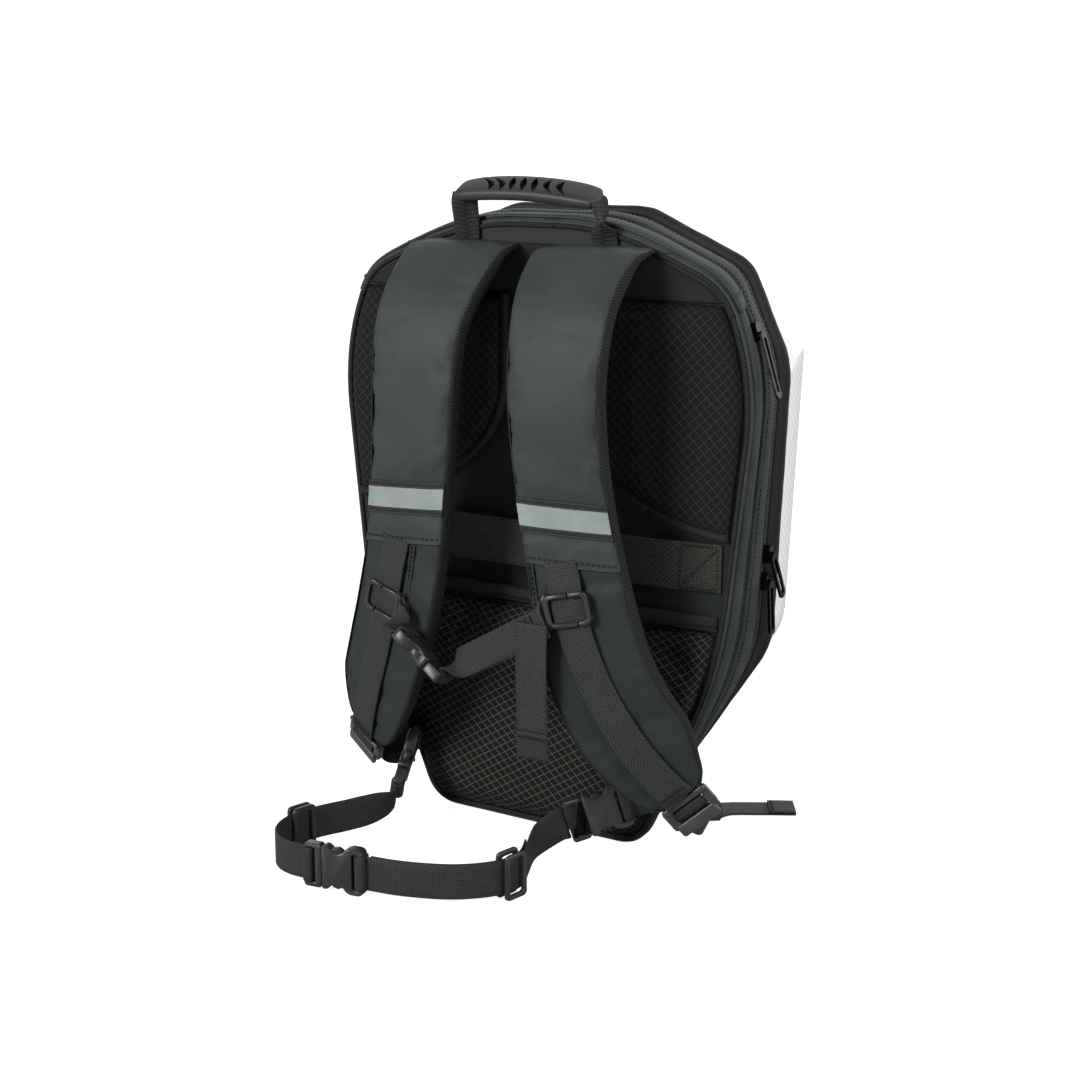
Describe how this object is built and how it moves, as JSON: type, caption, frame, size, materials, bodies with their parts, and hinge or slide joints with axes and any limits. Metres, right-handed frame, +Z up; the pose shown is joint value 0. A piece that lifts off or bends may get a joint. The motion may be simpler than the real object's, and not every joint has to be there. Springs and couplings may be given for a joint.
{
  "type": "backpack",
  "caption": "Hard-fronted backpack standing on its base, with a padded mesh back, padded shoulder straps, fastened chest strap, hip belt, zipped side walls and a grab handle.",
  "frame": {"origin": "middle of the flat underside of the base, on which the bag stands", "axes": "+Z up, -Y towards the wearer, +X to the wearer-side viewer's right"},
  "size_m": [0.3523, 0.3274, 0.4818],
  "materials": {
    "leatherette": "satin grey-green leatherette",
    "mesh": "matt woven mesh with a thin lighter grid",
    "webbing": "matt ribbed webbing",
    "binding": "matt black binding",
    "plastic": "moulded near-black plastic",
    "rubber": "moulded matt rubber",
    "reflective": "grey reflective tape",
    "shell": "white satin shell",
    "window": "dark glossy window",
    "metal": "black enamelled metal"
  },
  "bodies": {
    "bag": {"back_panel": "leatherette", "rear_piping": "binding", "rear_strip": "leatherette", "rear_zip": "webbing", "main_gusset": "leatherette", "main_zip": "webbing", "rim_binding": "binding", "zip_garage": "leatherette", "front_shell": "shell", "led_window": "window", "base_panel": "binding", "upper_pad_right": "mesh", "upper_pad_left": "mesh", "lower_pad": "mesh", "lower_hem": "leatherette", "yoke_patch": "webbing", "luggage_band": "webbing", "handle_grip": "rubber", "handle_web_left": "webbing", "handle_web_right": "webbing", "strap_pad_left": "leatherette", "reflective_band_left": "reflective", "strap_webbing_left": "webbing", "sternum_slider_left": "plastic", "ladder_lock_left": "plastic", "lower_webbing_left": "webbing", "strap_pad_right": "leatherette", "reflective_band_right": "reflective", "strap_webbing_right": "webbing", "sternum_slider_right": "plastic", "ladder_lock_right": "plastic", "lower_webbing_right": "webbing", "strap_tail_right": "webbing", "chest_buckle_socket": "plastic", "chest_buckle_plug": "plastic", "chest_web_left": "webbing", "chest_web_right": "webbing", "chest_tail": "webbing", "hip_tab_right": "webbing", "hip_tab_left": "webbing", "hip_buckle_right_socket": "plastic", "hip_buckle_right_plug": "plastic", "hip_buckle_left_socket": "plastic", "hip_buckle_left_plug": "plastic", "belt_buckle_socket": "plastic", "belt_buckle_plug": "plastic", "belt_web_right": "webbing", "belt_fold": "webbing", "belt_web_left": "webbing", "triglide_right": "plastic", "triglide_left": "plastic", "zip_slider_1": "metal", "zip_slider_2": "metal", "zip_slider_3": "metal"},
    "pull_1": {"zip_pull_1": "metal"},
    "pull_2": {"zip_pull_2": "metal"},
    "pull_3": {"zip_pull_3": "metal"}
  },
  "joints": [
    {"name": "pull_1_swing", "type": "hinge", "parent": "bag", "child": "pull_1", "pos_m": [0.16585, -0.042, 0.383], "axis": [-0.0233, -0.9976, 0.0658], "range_deg": [0, 150]},
    {"name": "pull_2_swing", "type": "hinge", "parent": "bag", "child": "pull_2", "pos_m": [0.16808, -0.01615, 0.224], "axis": [0.0041, -0.8664, -0.4993], "range_deg": [0, 150]},
    {"name": "pull_3_swing", "type": "hinge", "parent": "bag", "child": "pull_3", "pos_m": [0.16707, -0.01615, 0.204], "axis": [0.0001, -0.9903, -0.139], "range_deg": [0, 150]}
  ]
}
